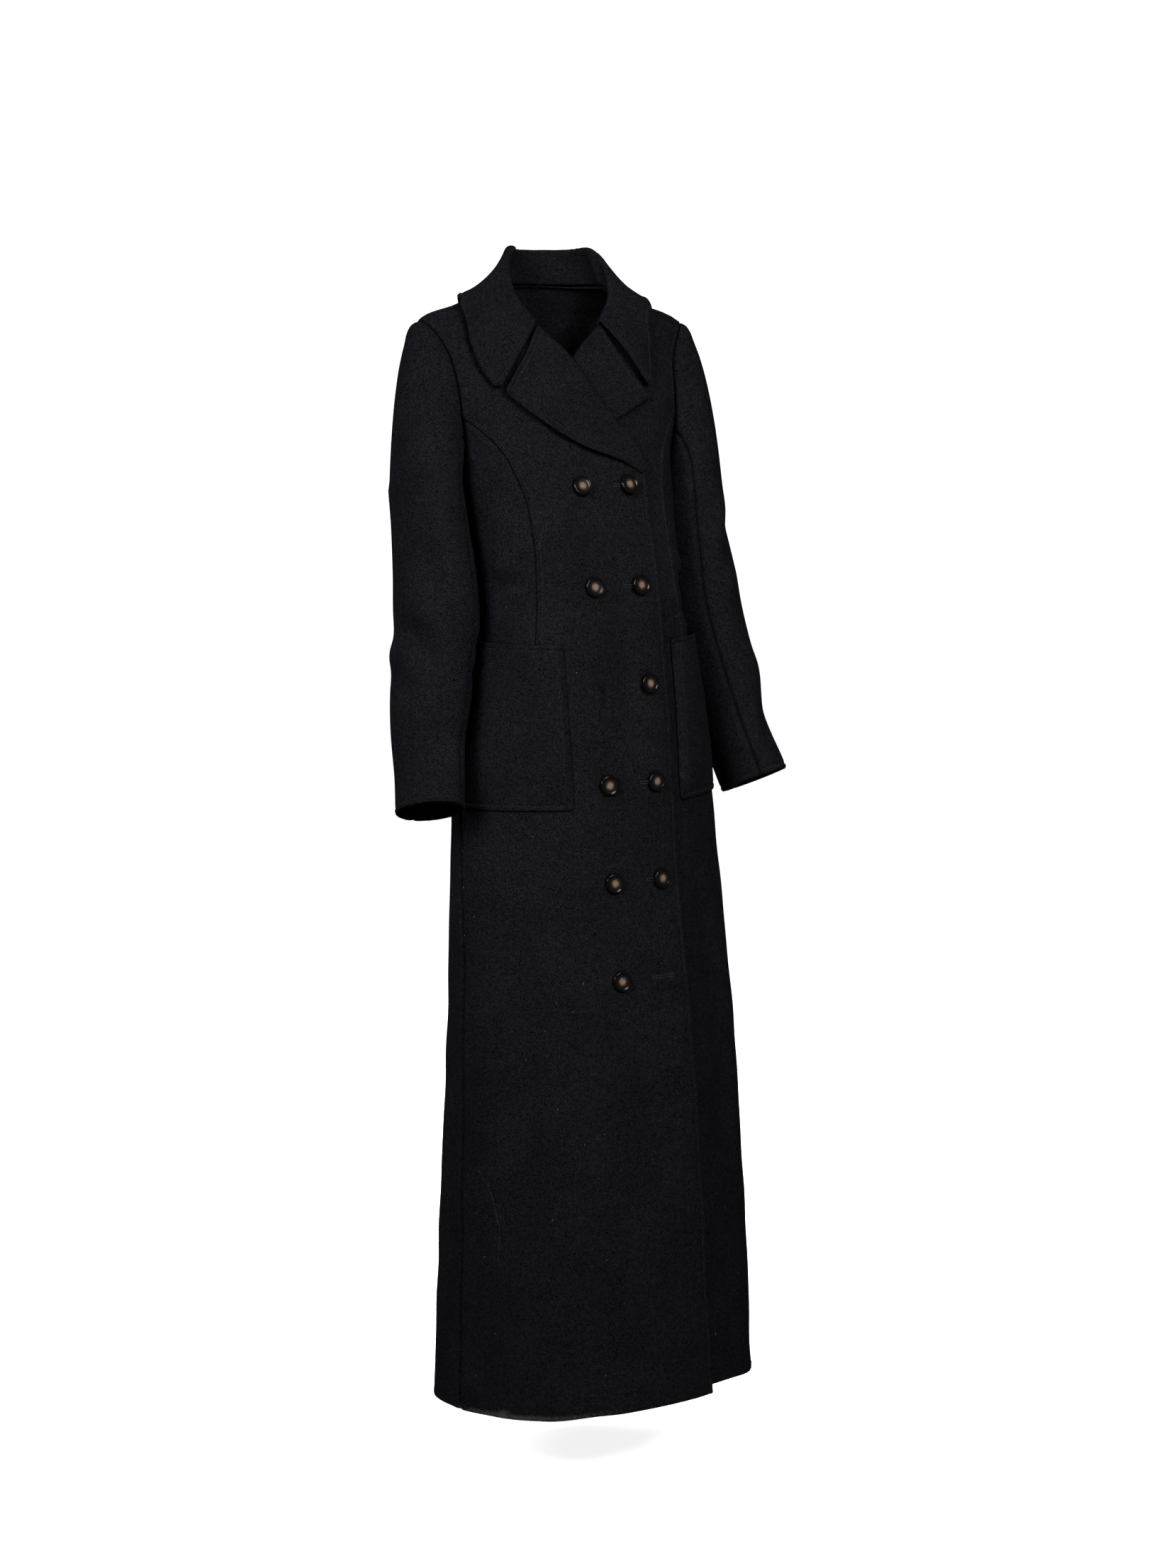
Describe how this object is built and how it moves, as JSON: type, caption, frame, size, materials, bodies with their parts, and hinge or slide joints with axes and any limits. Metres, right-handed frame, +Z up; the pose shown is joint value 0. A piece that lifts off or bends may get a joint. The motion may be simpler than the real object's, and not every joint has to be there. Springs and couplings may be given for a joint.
{
  "type": "long double-breasted coat",
  "caption": "Long double-breasted wool coat in its worn form, with notched lapels, patch pockets, princess seams and set-in sleeves, hollow and open at neck, cuffs and hem.",
  "frame": {"origin": "on the wearer's neck, midway between the points where the shoulder seams meet the collar", "axes": "+Z up along the wearer, +X to the wearer's left, -Y the way the coat's front faces"},
  "size_m": [0.576, 0.3924, 1.4921],
  "materials": {
    "wool": "matte, felted, short nap",
    "horn": "polished, dark with a brown centre"
  },
  "bodies": {
    "root": {"front_right": "wool", "front_left": "wool", "side_front_right": "wool", "side_front_left": "wool", "back_right": "wool", "back_left": "wool", "sleeve_upper_right": "wool", "sleeve_upper_left": "wool", "sleeve_under_right": "wool", "sleeve_under_left": "wool", "collar": "wool", "lapel_right": "wool", "lapel_left": "wool", "pocket_right": "wool", "pocket_left": "wool", "button_right_1": "horn", "button_right_2": "horn", "button_right_4": "horn", "button_right_5": "horn", "button_right_6": "horn", "button_left_1": "horn", "button_left_2": "horn", "button_left_3": "horn", "button_left_4": "horn", "button_left_5": "horn"}
  },
  "joints": []
}
